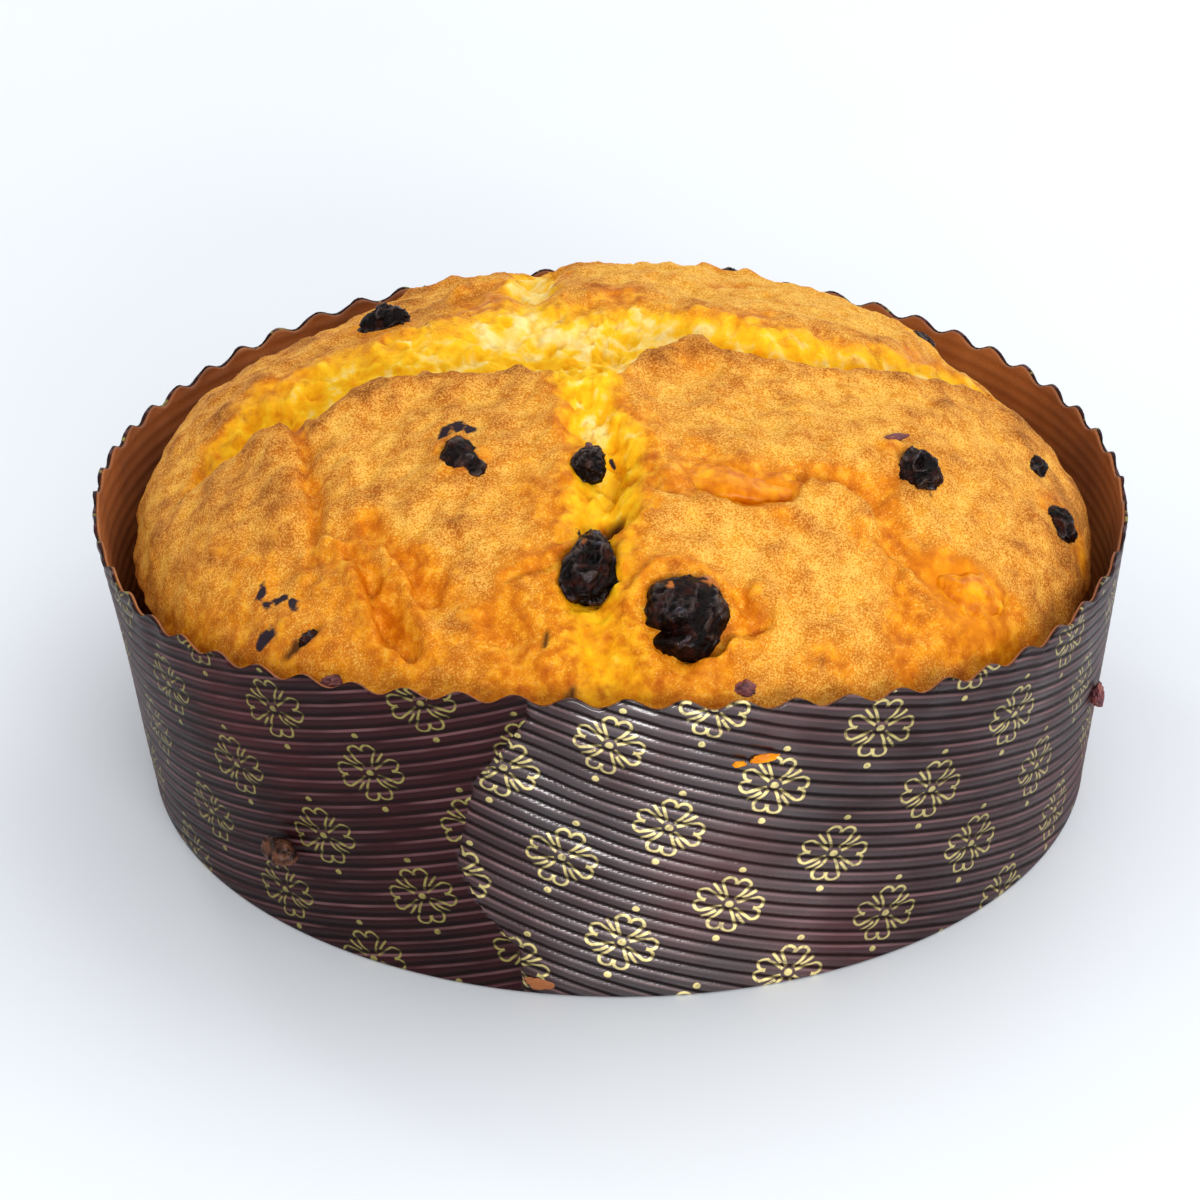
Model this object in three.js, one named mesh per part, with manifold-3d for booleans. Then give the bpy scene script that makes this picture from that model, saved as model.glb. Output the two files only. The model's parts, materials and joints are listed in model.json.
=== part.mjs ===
// A low panettone in its scalloped paper case: a domed sweet bread that has split into four
// lobes, with raisins and candied peel in its top. Millimetres, +Z up. The origin is on the
// underside, below the centre of the rim, and the seam of the case faces -Y.
import * as THREE from 'three';
import { mergeVertices } from 'three/addons/utils/BufferGeometryUtils.js';
import Module from 'manifold-3d';

const wasm = await Module();
wasm.setup();

// Gap that touching pieces keep
const clearance = 0.3;

// Paper case: a flared band round a flat floor
const floorRadius = 91.2;
const rimRadius = 99;
const caseHeight = 56;
const paperThickness = 1;
const floorShift = 1.8; // the floor lies a little to the right of the rim
const scallopCount = 60;
const scallopHeight = 1; // half of the height between a peak and a dip
const scallopStart = 1.8; // angle of a peak, in degrees
const caseSegments = 240;
const caseBands = 3;

// The band stands taller and steeper round its seam
const seamAngle = -94;
const seamReach = 61;
const seamRise = 8;
const seamPull = 3;

// Bread: a straight body with a domed top
const bodyRadius = 89;
const crustRadius = 92;
const crustLevel = 45;
const domeHeight = 43;
const breadSegments = 96;
const domeBands = 21;

// The crust is pulled in at one place
const tuckAngle = 27;
const tuckReach = 30;
const tuckDepth = 6;

// Splits between the lobes
const crossDepth = 5.5;
const frontDepth = 4.5;
const backDepth = 3.5;
const lipHeight = 1.6;
const lipReach = 9;

// Colours
const crustColour = 0xe09a45;
const raisinColour = 0x2a1a17;
const peelColour = 0xe8930f;
const skinColour = 0x5e2a33;
const caseColour = 0x402b2c;

const radians = THREE.MathUtils.degToRad;
const rise = THREE.MathUtils.smoothstep;

// A smooth hill: 1 at the middle, 0 from its reach outwards
function hill(distance, reach) {
  const share = Math.min(1, Math.abs(distance) / reach);
  return Math.cos(share * Math.PI / 2) ** 2;
}

// Turns between two directions, in degrees, the short way round
function turnBetween(angle, other) {
  return THREE.MathUtils.euclideanModulo(angle - other + 180, 360) - 180;
}

// The value at a place on a line that is given by a few stations
function onLine(stations, place) {
  const last = stations.length - 1;
  if (place <= stations[0][0]) return stations[0][1];
  if (place >= stations[last][0]) return stations[last][1];
  const next = stations.findIndex(([at]) => at > place);
  const [fromAt, from] = stations[next - 1];
  const [toAt, to] = stations[next];
  return THREE.MathUtils.mapLinear(place, fromAt, toAt, from, to);
}

// How far a point lies from a path, positive on its left-hand side
function offPath(path, x, y) {
  let nearest = Infinity;
  for (let i = 1; i < path.length; i += 1) {
    const [ax, ay] = path[i - 1];
    const dx = path[i][0] - ax;
    const dy = path[i][1] - ay;
    const share = THREE.MathUtils.clamp(((x - ax) * dx + (y - ay) * dy) / (dx * dx + dy * dy), 0, 1);
    const offX = x - ax - share * dx;
    const offY = y - ay - share * dy;
    const distance = Math.hypot(offX, offY);
    if (distance < Math.abs(nearest)) nearest = Math.sign(dx * offY - dy * offX || 1) * distance;
  }
  return nearest;
}

// The split from side to side: the front lobes end at one line and the back lobes at another
const frontLip = [[-88, -18], [-76, -11], [-58, -11], [-44, -7], [-24, -10], [-10, -12],
  [2, -5], [17, 4], [26, 5], [42, -1], [52, 3], [66, 13], [80, 16]];
const backLip = [[-80, -5], [-61, 8], [-45, 15], [-30, 17], [-18, 28], [-10, 26], [0, 21],
  [14, 16], [28, 12], [46, 12], [58, 18], [76, 27]];

function crossSplit(x, y) {
  const front = onLine(frontLip, x);
  const back = onLine(backLip, x);
  const share = (y - front) / (back - front);
  const fade = 1 - rise(Math.abs(x), 66, 88);
  const dip = rise(share, 0, 0.35) * (1 - rise(share, 0.4, 1));
  const lips = hill(y - front + 2, lipReach) + 0.5 * hill(y - back - 3, lipReach);
  return fade * (lips * lipHeight - dip * crossDepth);
}

// The split between the two front lobes
const frontMiddle = [[-88, 0], [-60, -1], [-45, 1], [-30, 0.5], [-20, -2.5]];
const frontHalfWidth = [[-88, 6], [-60, 7], [-36, 8], [-20, 6]];

function frontSplit(x, y) {
  const off = x - onLine(frontMiddle, y);
  const halfWidth = onLine(frontHalfWidth, y);
  const along = 1 - rise(y, -22, -8);
  const shallow = 0.45 + 0.55 * rise(y, -84, -52);
  const lips = hill(Math.abs(off) - halfWidth - 2, lipReach);
  return along * (lips * lipHeight * 0.6 - hill(off, halfWidth + 2) * frontDepth * shallow);
}

// The split between the two back lobes
const backMiddleX = -15;
const backHalfWidth = 8;

function backSplit(x, y) {
  return -backDepth * hill(x - backMiddleX, backHalfWidth) * rise(y, 18, 34) * (1 - rise(y, 60, 88));
}

// Folds and steps of the crust on the front lobes
const shelfEdge = [[5, -50], [27, -46], [33, -41], [46, -39], [50, -46], [55, -58]];
const leftFold = [[-59, -12], [-55, -40], [-46, -50], [-35, -74]];
const hollow = { x: -38, y: -66, reach: 10, depth: 2.2 };
const peelPit = { x: 65, y: -51, reach: 13, depth: 2.5 };
const chunkPit = { x: 24, y: -40, reach: 15, depth: 1.6 };
const backLump = { x: 29, y: 9, reach: 8, depth: -2.4 };

function crustFolds(x, y) {
  const shelf = offPath(shelfEdge, x, y);
  const fold = offPath(leftFold, x, y);
  const step = hill(shelf - 3, 7) * -1.8 + hill(shelf + 4, 7) * 0.8;
  const crease = hill(fold, 4) * -1.3 + hill(fold + 5, 6) * 0.9;
  let height = step + crease;
  for (const dent of [hollow, peelPit, chunkPit, backLump]) {
    height -= dent.depth * hill(Math.hypot(x - dent.x, y - dent.y), dent.reach);
  }
  return height;
}

// Broad unevenness of a risen loaf
function swell(x, y) {
  return 0.9 * Math.sin(x / 17 + 0.6) * Math.sin(y / 15 - 0.4) + 0.5 * Math.sin((x - y) / 9);
}

function relief(x, y) {
  return crossSplit(x, y) + frontSplit(x, y) + backSplit(x, y) + crustFolds(x, y) + swell(x, y);
}

// Height of the bread's top above the table, at a place in plan
function topHeight(x, y) {
  const radius = Math.hypot(x, y);
  const dome = crustLevel + domeHeight * Math.sqrt(Math.max(0, 1 - (radius / crustRadius) ** 2));
  return dome + relief(x, y) * (1 - rise(radius, 78, crustRadius));
}

function leanAt(z) {
  return floorShift * (1 - z / caseHeight);
}

// Takes a geometry down to one closed mesh of shared points, without collapsed triangles
function closed(geometry) {
  geometry.deleteAttribute('normal');
  geometry.deleteAttribute('uv');
  const merged = mergeVertices(geometry, 1e-3);
  const index = merged.index.array;
  const kept = [];
  for (let i = 0; i < index.length; i += 3) {
    const [a, b, c] = index.slice(i, i + 3);
    if (a !== b && b !== c && c !== a) kept.push(a, b, c);
  }
  merged.setIndex(kept);
  return merged;
}

// Moves every point of a geometry by a formula
function reshape(geometry, move) {
  const points = geometry.attributes.position;
  const point = new THREE.Vector3();
  for (let i = 0; i < points.count; i += 1) {
    point.fromBufferAttribute(points, i);
    move(point);
    points.setXYZ(i, point.x, point.y, point.z);
  }
  return geometry;
}

function toSolid(geometry) {
  const vertProperties = new Float32Array(geometry.attributes.position.array);
  const triVerts = new Uint32Array(geometry.index.array);
  return new wasm.Manifold(new wasm.Mesh({ numProp: 3, vertProperties, triVerts }));
}

function toGeometry(solid) {
  const mesh = solid.getMesh();
  const geometry = new THREE.BufferGeometry();
  geometry.setAttribute('position', new THREE.BufferAttribute(new Float32Array(mesh.vertProperties), 3));
  geometry.setIndex(new THREE.BufferAttribute(new Uint32Array(mesh.triVerts), 1));
  return geometry;
}

function piece(name, geometry, colour, roughness) {
  const material = new THREE.MeshStandardMaterial({ color: colour, roughness, metalness: 0 });
  const mesh = new THREE.Mesh(geometry, material);
  mesh.name = name;
  return mesh;
}

// A shape turned about Z, from its outline of [radius, height] points
function turned(outline, segments) {
  const lathe = new THREE.LatheGeometry(outline.map(([r, z]) => new THREE.Vector2(r, z)), segments);
  lathe.rotateX(Math.PI / 2);
  return closed(lathe);
}

// The case: down the outside, across the floor, with the scallops and the rise at the seam
function paperCase() {
  const outer = [];
  const inner = [];
  for (let band = 0; band <= caseBands; band += 1) {
    const share = band / caseBands;
    const radius = THREE.MathUtils.lerp(floorRadius, rimRadius, share);
    outer.push([radius, caseHeight * share]);
    inner.unshift([radius - paperThickness, Math.max(paperThickness, caseHeight * share)]);
  }
  const shell = turned([[0, 0], ...outer, ...inner, [0, paperThickness]], caseSegments);
  return reshape(shell, (point) => {
    const angle = THREE.MathUtils.radToDeg(Math.atan2(point.y, point.x));
    const share = point.z / caseHeight;
    const atSeam = hill(turnBetween(angle, seamAngle), seamReach) * share;
    const scallop = Math.cos(radians(scallopCount * (angle - scallopStart))) * share ** 8;
    const radius = Math.hypot(point.x, point.y);
    if (radius > 1) {
      point.x *= 1 - atSeam * seamPull / radius;
      point.y *= 1 - atSeam * seamPull / radius;
    }
    point.x += leanAt(point.z);
    if (share > 0.1) point.z += atSeam * seamRise + scallop * scallopHeight;
  });
}

// The bread before its fruit is pressed in
function bareBread() {
  const base = paperThickness + clearance;
  const outline = [[0, base], [bodyRadius / 2, base], [bodyRadius - 1.5, base],
    [bodyRadius, base + 3], [bodyRadius - 0.3, 15], [bodyRadius - 0.6, 27], [bodyRadius - 0.4, 36],
    [bodyRadius + 0.8, 42.5]];
  for (let band = 0; band <= domeBands; band += 1) {
    const slant = radians(88 * (1 - band / domeBands));
    outline.push([crustRadius * Math.sin(slant), crustLevel + domeHeight * Math.cos(slant)]);
  }
  return reshape(turned(outline, breadSegments), (point) => {
    const angle = THREE.MathUtils.radToDeg(Math.atan2(point.y, point.x));
    const radius = Math.hypot(point.x, point.y);
    if (point.z > crustLevel) point.z = topHeight(point.x, point.y);
    const tuck = tuckDepth * hill(turnBetween(angle, tuckAngle), tuckReach) * rise(point.z, 25, 48);
    const outward = radius > 1 ? 1 - tuck / radius * (radius / crustRadius) ** 5 : 1;
    point.x = point.x * outward + leanAt(Math.min(point.z, caseHeight));
    point.y *= outward;
  });
}

// A dried fruit: a rounded lump with shrunken folds, grown by extra millimetres all round
function driedFruit({ size, detail, folds = 0.09 }, extra) {
  const lump = closed(new THREE.IcosahedronGeometry(1, detail));
  return reshape(lump, (point) => {
    const fold = Math.sin(5 * point.x + 2 * point.z) + Math.sin(6 * point.y - 3 * point.x);
    const radius = 1 + folds * fold / 2;
    point.set(point.x * size[0], point.y * size[1], point.z * size[2]).multiplyScalar(radius / 2);
    point.setLength(point.length() + extra);
  });
}

// A cube of peel with soft corners
function softCube({ size, detail }, extra) {
  const lump = closed(new THREE.IcosahedronGeometry(1, detail));
  return reshape(lump, (point) => {
    const reach = (Math.abs(point.x) ** 4 + Math.abs(point.y) ** 4 + Math.abs(point.z) ** 4) ** 0.25;
    point.set(point.x * size[0], point.y * size[1], point.z * size[2]).divideScalar(2 * reach);
    point.setLength(point.length() + extra);
  });
}

// Sets a piece of fruit on the top at x, y: turned in plan, tipped with the slope and sunk in
function placed(geometry, { x, y, turn = 0, sink = 0 }) {
  const step = 4;
  const slopeX = (topHeight(x + step, y) - topHeight(x - step, y)) / (2 * step);
  const slopeY = (topHeight(x, y + step) - topHeight(x, y - step)) / (2 * step);
  const up = new THREE.Vector3(-slopeX, -slopeY, 1).normalize();
  const spin = new THREE.Quaternion().setFromAxisAngle(new THREE.Vector3(0, 0, 1), radians(turn));
  const tip = new THREE.Quaternion().setFromUnitVectors(new THREE.Vector3(0, 0, 1), up);
  geometry.applyQuaternion(tip.multiply(spin));
  geometry.translate(x - up.x * sink, y - up.y * sink, topHeight(x, y) - up.z * sink);
  return geometry;
}

// Fruit in the top: sizes are length, width and height, and sink is how deep its middle lies.
// The last three raisins are on the far side.
const raisins = [
  { x: -44, y: 27, size: [9, 7, 6], turn: 10, sink: 1, detail: 2 },
  { x: -28, y: -36.5, size: [6.5, 9, 6], turn: 30, sink: 1.8, detail: 2 },
  { x: -4, y: -42, size: [6.5, 8, 6], turn: -10, sink: 0.3, detail: 2 },
  { x: -4, y: -65, size: [10, 14.5, 8], turn: -12, sink: 0.6, detail: 2 },
  { x: 13.5, y: -75, size: [16, 17, 11], turn: -35, sink: 1, detail: 2 },
  { x: 56, y: -28.5, size: [8.5, 7.5, 5.5], turn: -15, sink: 0.6, detail: 2 },
  { x: 81.5, y: -5, size: [4, 7, 4], turn: 15, sink: 0.8, detail: 1 },
  { x: 84.5, y: -18.5, size: [5, 7.5, 4.5], turn: 30, sink: 0.4, detail: 1 },
  { x: -55, y: -66, size: [7.5, 5, 4], turn: 15, sink: 1.5, detail: 1 },
  { x: 24, y: -83, size: [6, 4, 4], turn: 10, sink: 1, detail: 1, colour: skinColour },
  { x: -50, y: -74, size: [5.5, 4, 4], turn: -20, sink: 1, detail: 1, colour: skinColour },
  { x: 24, y: 68, size: [8, 6, 5], turn: 40, sink: 0.8, detail: 1 },
  { x: -36, y: 63, size: [7, 8, 5], turn: -25, sink: 1, detail: 1 },
  { x: 62, y: 47, size: [6, 7.5, 5], turn: 60, sink: 0.8, detail: 1 },
];
const peels = [
  { x: 24, y: -41, size: [18, 9, 6], turn: 4, sink: 2.2, detail: 2 },
  { x: 65.5, y: -51.5, size: [13, 11, 7], turn: 30, sink: 2.2, detail: 2 },
];

// What has dropped on the outside of the case: its direction, height and size
const stuckRaisin = { angle: -130, z: 18.5, size: [3.4, 6.5, 6], detail: 1 };
const stuckFlake = { angle: -16, z: 27.5, size: [2.6, 2.4, 6], detail: 1, folds: 0.2 };

function onCase(spec) {
  const radius = THREE.MathUtils.lerp(floorRadius, rimRadius, spec.z / caseHeight);
  const outward = radius + clearance + spec.size[0] * 0.62;
  const geometry = driedFruit(spec, 0);
  geometry.translate(outward, 0, 0);
  geometry.rotateZ(radians(spec.angle));
  geometry.translate(leanAt(spec.z), 0, spec.z);
  return geometry;
}

const panettone = new THREE.Group();
panettone.name = 'panettone';
panettone.add(piece('paper_case', paperCase(), caseColour, 0.45));

let bread = toSolid(bareBread());
const twoDigits = (index) => String(index + 1).padStart(2, '0');
raisins.forEach((spec, index) => {
  bread = bread.subtract(toSolid(placed(driedFruit(spec, clearance), spec)));
  const fruit = placed(driedFruit(spec, 0), spec);
  panettone.add(piece(`raisin_${twoDigits(index)}`, fruit, spec.colour ?? raisinColour, 0.35));
});
peels.forEach((spec, index) => {
  bread = bread.subtract(toSolid(placed(softCube(spec, clearance), spec)));
  panettone.add(piece(`peel_${twoDigits(index)}`, placed(softCube(spec, 0), spec), peelColour, 0.3));
});
panettone.add(piece('bread', toGeometry(bread), crustColour, 0.8));
panettone.add(piece('case_raisin', onCase(stuckRaisin), raisinColour, 0.4));
panettone.add(piece('case_flake', onCase(stuckFlake), skinColour, 0.7));

export default panettone;
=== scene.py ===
import json
from functools import partial
from math import cos, pi, radians, sin

import bmesh
import bpy
import numpy as np
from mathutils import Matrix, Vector


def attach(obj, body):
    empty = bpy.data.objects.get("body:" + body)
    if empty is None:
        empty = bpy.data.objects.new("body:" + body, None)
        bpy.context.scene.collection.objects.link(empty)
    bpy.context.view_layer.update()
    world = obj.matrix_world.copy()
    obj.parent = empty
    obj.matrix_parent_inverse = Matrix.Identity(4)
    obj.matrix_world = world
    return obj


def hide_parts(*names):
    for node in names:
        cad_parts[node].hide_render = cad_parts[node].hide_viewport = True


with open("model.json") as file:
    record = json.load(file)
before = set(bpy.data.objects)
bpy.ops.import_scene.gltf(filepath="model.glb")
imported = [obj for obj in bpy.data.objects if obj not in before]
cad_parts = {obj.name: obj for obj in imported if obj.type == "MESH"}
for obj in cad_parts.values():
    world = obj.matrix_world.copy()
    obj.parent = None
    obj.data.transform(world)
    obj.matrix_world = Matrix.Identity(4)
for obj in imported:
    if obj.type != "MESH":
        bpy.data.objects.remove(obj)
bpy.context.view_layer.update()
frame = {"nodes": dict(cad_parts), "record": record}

mm = 0.001
scene = bpy.context.scene
scene.view_settings.view_transform = "Standard"


def fromHex(code):  # an sRGB hex colour as linear values
    channels = [int(code[i:i + 2], 16) / 255 for i in (0, 2, 4)]
    return [c / 12.92 if c <= 0.04045 else ((c + 0.055) / 1.055) ** 2.4 for c in channels] + [1]


def rise(value, low, high):  # smooth step from 0 to 1
    share = np.clip((value - low) / (high - low), 0, 1)
    return share * share * (3 - 2 * share)


def hill(distance, reach):  # smooth hill, 1 at the middle and 0 from its reach outwards
    return np.cos(np.minimum(1, np.abs(distance) / reach) * pi / 2) ** 2


def turnBetween(angle, other):  # degrees, the short way round
    return (angle - other + 180) % 360 - 180


def angleOf(points):  # degrees round Z
    return np.degrees(np.arctan2(points[:, 1], points[:, 0]))


def onLine(stations, place):
    return np.interp(place, [s[0] for s in stations], [s[1] for s in stations])


def offPath(path, x, y):  # distance from a path, positive on its left
    nearest = np.full(x.shape, 1e9)
    for (ax, ay), (bx, by) in zip(path, path[1:]):
        dx, dy = bx - ax, by - ay
        share = np.clip(((x - ax) * dx + (y - ay) * dy) / (dx * dx + dy * dy), 0, 1)
        offX, offY = x - ax - share * dx, y - ay - share * dy
        distance = np.hypot(offX, offY)
        side = np.where(dx * offY - dy * offX < 0, -1, 1)
        nearest = np.where(distance < np.abs(nearest), side * distance, nearest)
    return nearest


def noiseAt(points, size, seed, octaves=1):  # smooth noise of about -1 to 1; points and size in mm
    random = np.random.default_rng(seed)
    order = random.permutation(256)
    leans = random.normal(size=(256, 3))
    leans /= np.linalg.norm(leans, axis=1)[:, None]
    total = np.zeros(len(points))
    for octave in range(octaves):
        place = points * (2.1 ** octave / size) + 11.7 * octave + seed
        cell = np.floor(place).astype(int)
        inside = place - cell
        blend = inside ** 3 * (inside * (inside * 6 - 15) + 10)
        for corner in np.ndindex(2, 2, 2):
            corner = np.array(corner)
            key = (cell + corner) & 255
            lean = leans[order[(order[(order[key[:, 0]] + key[:, 1]) & 255] + key[:, 2]) & 255]]
            weight = np.prod(np.where(corner, blend, 1 - blend), axis=1)
            total += weight * np.sum(lean * (inside - corner), axis=1) * 1.7 * 0.55 ** octave
    return total


def readPoints(mesh):  # mm
    flat = np.empty(len(mesh.vertices) * 3)
    mesh.vertices.foreach_get("co", flat)
    return flat.reshape(-1, 3) / mm


def writePoints(mesh, points):
    mesh.vertices.foreach_set("co", (points * mm).ravel())
    mesh.update()


def readNormals(mesh):
    flat = np.empty(len(mesh.vertices) * 3)
    mesh.vertex_normals.foreach_get("vector", flat)
    return flat.reshape(-1, 3)


def store(mesh, name, values):
    kind = "FLOAT" if values.ndim == 1 else "FLOAT_VECTOR"
    field = "value" if values.ndim == 1 else "vector"
    mesh.attributes.new(name, kind, "POINT").data.foreach_set(field, values.astype(np.float32).ravel())


def toMesh(bm, name):
    mesh = bpy.data.meshes.new(name)
    bm.to_mesh(mesh)
    bm.free()
    return mesh


def newObject(name, data):
    item = bpy.data.objects.new(name, data)
    scene.collection.objects.link(item)
    return item


def addPiece(name, mesh, material):
    piece = newObject(name, mesh)
    mesh.materials.append(material)
    mesh.shade_smooth()
    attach(piece, "root")
    return piece


def turnedMesh(name, outline, steps, loop=False):  # outline of (radius, height) in mm, turned about Z
    outline = np.array(outline + outline[:1] if loop else outline, dtype=float)
    bm = bmesh.new()
    bmesh.ops.create_grid(bm, x_segments=steps, y_segments=len(outline) - 1, size=0.5)
    mesh = bpy.data.meshes.new(name)
    bm.to_mesh(mesh)
    flat = readPoints(mesh) * mm + 0.5
    turn = 2 * pi * flat[:, 0]
    row = np.rint(flat[:, 1] * (len(outline) - 1)).astype(int)
    radius, height = outline[row].T
    writePoints(mesh, np.stack([radius * np.cos(turn), radius * np.sin(turn), height], axis=1))
    bm.clear()
    bm.from_mesh(mesh)
    bmesh.ops.remove_doubles(bm, verts=bm.verts, dist=1e-6)
    bmesh.ops.recalc_face_normals(bm, faces=bm.faces)
    bm.to_mesh(mesh)
    bm.free()
    return mesh


def addNode(tree, kind, settings=None, links=None):  # one node, its settings and what feeds it
    node = tree.nodes.new("ShaderNode" + kind)
    for key, value in (settings or {}).items():
        if key == "stops":  # places and hex colours of a ramp
            elements = node.color_ramp.elements
            for extra in value[2:]:
                elements.new(0.5)
            for element, (place, code) in zip(elements, value):
                element.position, element.color = place, fromHex(code)
        elif isinstance(key, int) or key in node.inputs:
            node.inputs[key].default_value = value
        else:
            setattr(node, key, value)
    for key, source in (links or {}).items():
        if isinstance(source, bpy.types.Node):  # a node stands for the first of its outputs in use
            source = next(socket for socket in source.outputs if socket.enabled)
        tree.links.new(source, node.inputs[key])
    return node


def newMaterial(name):  # with addNode for its own tree, and the place on the object in mm
    material = bpy.data.materials.new(name)
    material.use_nodes = True
    material.node_tree.nodes.clear()
    add = partial(addNode, material.node_tree)
    coords = add("TexCoord")
    inMm = add("Mapping", {"Scale": (1 / mm, 1 / mm, 1 / mm)}, {0: coords.outputs["Object"]})
    return material, add, inMm


view = {  # the photo's viewing angle
    "place": (-1.9, -809.1, 479.7),  # mm
    "target": (-1.9, 0, 31.8),
    "lens": 142.8,
    "sensor": 36,
}


def makeCamera():
    data = bpy.data.cameras.new("camera")
    data.lens = view["lens"]
    data.sensor_width = view["sensor"]
    data.clip_start, data.clip_end = 0.05, 20
    camera = newObject("camera", data)
    place, target = Vector(view["place"]) * mm, Vector(view["target"]) * mm
    camera.location = place
    camera.rotation_euler = (target - place).to_track_quat("-Z", "Y").to_euler()
    scene.camera = camera
    print("camera made")


studio = {  # pale table and soft light
    "tableSize": 6.0,  # m
    "tableColours": [(0.3, "e6eaf1"), (0.7, "edf1f6")],
    "backColour": "f9f7f6",
    "fadeFrom": 620,  # mm behind the object, where the table melts into the backdrop
    "fadeTo": 800,
    "worldColour": "f6f7f8",
    "worldStrength": 0.87,
    "lights": [  # name, place, width, height and power
        ("key", (0.75, 0.6, 1.15), 1.6, 1.6, 8.5),
        ("window", (0.4, -1.5, 0.5), 0.9, 0.35, 15.0),
        ("glint", (-0.5, 0.75, 0.9), 0.16, 0.16, 0.9),
    ],
}


def makeStage():
    bm = bmesh.new()
    bmesh.ops.create_grid(bm, x_segments=1, y_segments=1, size=studio["tableSize"] / 2)
    table = newObject("table", toMesh(bm, "table"))
    # Painted board, smooth and nearly even, with soft clouds of tone.
    material, add, inMm = newMaterial("paintedTable")
    split = add("SeparateXYZ", links={0: inMm})
    fade = add("MapRange", {1: studio["fadeFrom"], 2: studio["fadeTo"], "interpolation_type": "SMOOTHSTEP"},
               {0: split.outputs["Y"]})
    cloud = add("TexNoise", {"Scale": 0.003, "Detail": 3.0}, {0: inMm})
    tone = add("ValToRGB", {"stops": studio["tableColours"]}, {0: cloud})
    colour = add("Mix", {"data_type": "RGBA", 7: fromHex(studio["backColour"])}, {0: fade, 6: tone})
    shader = add("BsdfPrincipled", {"Roughness": 0.55}, {"Base Color": colour})
    add("OutputMaterial", links={"Surface": shader})
    table.data.materials.append(material)

    world = bpy.data.worlds.new("studio")
    scene.world = world
    world.use_nodes = True
    back = world.node_tree.nodes["Background"]
    back.inputs["Color"].default_value = fromHex(studio["worldColour"])
    back.inputs["Strength"].default_value = studio["worldStrength"]
    for name, place, width, height, power in studio["lights"]:
        data = bpy.data.lights.new(name, "AREA")
        data.energy = power
        data.shape = "RECTANGLE"
        data.size, data.size_y = width, height
        light = newObject(name, data)
        light.location = place
        light.rotation_euler = (Vector((0, 0, 0.05)) - Vector(place)).to_track_quat("-Z", "Y").to_euler()
    print("stage and lights made")


case = {
    "floorRadius": 91.2,
    "rimRadius": 99.0,
    "height": 56.0,
    "floorShift": 1.8,  # the floor lies a little to the right of the rim
    "scallops": 60,
    "scallopHeight": 1.0,
    "scallopStart": 1.8,
    "seamAngle": -94.0,  # the band stands taller and steeper round its seam
    "seamReach": 61.0,
    "seamRise": 8.0,
    "seamPull": 3.3,
    "dipAngle": 150.0,  # and the rim hangs a little at the back on the left
    "dipReach": 34.0,
    "dipDepth": 2.0,
    "sheet": 0.4,  # thickness of the printed sheet
    "lining": 0.5,  # thickness of the kraft lining behind it
    "gap": 0.05,  # between the two
    "flutePitch": 2.68,
    "fluteHeight": 0.22,
    "inset": 0.26,  # keeps the ribs inside the outline of the case
    "lapStep": 0.4,  # the right-hand end laps over the left
    "columns": 600,
    "rows": 150,
    "liningColumns": 480,
    "liningRows": 110,
}
# tilt of the flutes against the rim, by direction: the band is cut as an arc from straight fluted paper
fluteTilt = [(-135, 28), (-101, 22.7), (-70, 17.1), (-40, 16.9), (0, 1.9), (60, 0), (165, -2.8), (200, -9.3),
             (230, -15.5), (259, -19.1), (300, -24)]
lapEdge = [(0, -101), (10, -101.3), (18, -105.4), (27, -107.8), (36, -106.6), (46, -105), (54, -101.4),
           (60, -99), (68, -98.5)]  # direction of the lap's end, by height


def caseRadius(z):
    return case["floorRadius"] + (case["rimRadius"] - case["floorRadius"]) * z / case["height"]


def flatBand(angle, height):  # where a spot of the band lies on the paper it was cut from
    turns = np.radians(np.arange(-180, 400.5, 0.5))
    tilt = np.radians(onLine(fluteTilt, np.degrees(turns)))
    middle = (tilt[1:] + tilt[:-1]) / 2
    step = case["floorRadius"] * np.diff(turns)
    lineU = np.concatenate([[0], np.cumsum(step * np.cos(middle))])
    lineV = np.concatenate([[0], np.cumsum(step * np.sin(middle))])
    start = radians(-101)
    lineU -= np.interp(start, turns, lineU)
    lineV -= np.interp(start, turns, lineV)
    at = np.radians(angle)
    local = np.radians(onLine(fluteTilt, angle))
    slant = height / cos(radians(8))
    u = np.interp(at, turns, lineU) - slant * np.sin(local)
    v = np.interp(at, turns, lineV) + slant * np.cos(local)
    return np.stack([u, v, np.zeros_like(u)], axis=1)


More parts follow.
